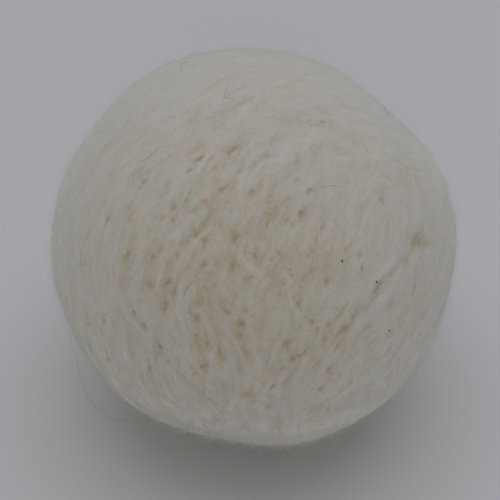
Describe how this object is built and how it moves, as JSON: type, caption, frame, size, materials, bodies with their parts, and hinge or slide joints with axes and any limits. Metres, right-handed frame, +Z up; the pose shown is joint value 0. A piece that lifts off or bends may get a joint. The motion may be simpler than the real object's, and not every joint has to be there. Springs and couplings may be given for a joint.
{
  "type": "felt ball",
  "caption": "Solid off-white wool felt ball, a little out of round, with a soft matted fibre surface; a loose ball to hold, roll, fill or decorate with.",
  "frame": {"origin": "centre of the ball's box", "axes": "+Z up from the spot the ball lies on, +X to the right across the ball's widest girth, -Y towards the viewer"},
  "size_m": [0.0706, 0.0692, 0.0692],
  "materials": {
    "wool_felt": "matte matted wool fibre"
  },
  "bodies": {
    "root": {"felt_ball": "wool_felt"}
  },
  "joints": []
}
